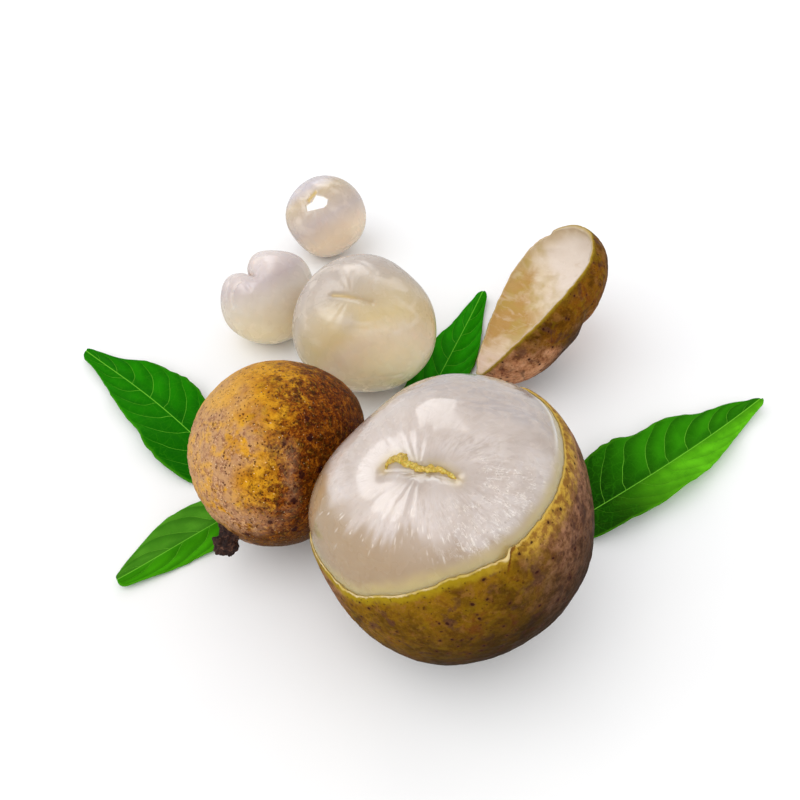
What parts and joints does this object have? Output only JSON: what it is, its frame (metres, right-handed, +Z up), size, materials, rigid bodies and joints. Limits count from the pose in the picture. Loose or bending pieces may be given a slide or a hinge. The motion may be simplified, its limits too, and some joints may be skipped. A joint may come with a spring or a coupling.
{
  "type": "longan bunch",
  "caption": "Bunch of longans laid on a surface: a fruit peeled back to show its flesh, a whole fruit, peeled arils, a torn piece of shell and leaflets.",
  "frame": {"origin": "middle of the flat spot on the table under the half-peeled fruit", "axes": "+Z up from the table, -Y towards the viewer, +X to the viewer's right"},
  "size_m": [0.1158, 0.1059, 0.0334],
  "materials": {
    "shell": "satin",
    "whole_shell": "satin",
    "flesh": "gloss",
    "scar": "matte",
    "stalk": "matte",
    "leaf": "satin"
  },
  "bodies": {
    "root": {"half_peeled_shell": "shell", "half_peeled_flesh": "flesh", "half_peeled_scar": "scar", "whole_fruit": "whole_shell", "whole_fruit_stalk": "stalk", "large_aril": "flesh", "notched_aril": "flesh", "small_aril": "flesh", "loose_shell_piece": "shell", "left_leaf": "leaf", "lower_leaf": "leaf", "right_leaf": "leaf", "back_leaf": "leaf"}
  },
  "joints": []
}
